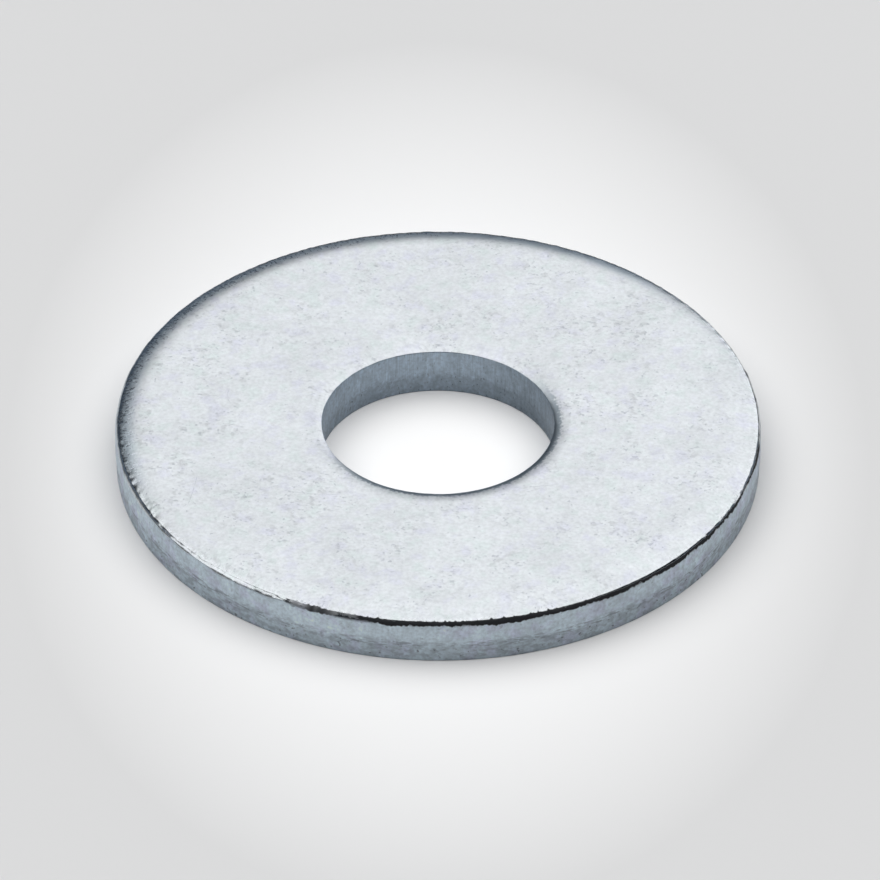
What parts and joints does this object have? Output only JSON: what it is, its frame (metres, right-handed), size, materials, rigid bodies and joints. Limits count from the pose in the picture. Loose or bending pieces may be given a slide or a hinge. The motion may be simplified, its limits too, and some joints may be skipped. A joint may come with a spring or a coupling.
{
  "type": "flat washer",
  "caption": "Flat washer with a large outer diameter: a thick round disc with a clearance hole. It spreads a bolt's load over a wide face.",
  "frame": {"origin": "centre of the bore at the lower bearing face, which is the face away from the rolled edges", "axes": "+Z along the bore axis, towards the face with the rolled edges; X and Y are arbitrary, because the washer is round"},
  "size_m": [0.03, 0.03, 0.0025],
  "materials": {
    "zinc_plated_steel": "satin bright zinc plating over blanked and tumbled steel, finely mottled, duller on the sheared sides"
  },
  "bodies": {
    "root": {"washer": "zinc_plated_steel"}
  },
  "joints": []
}
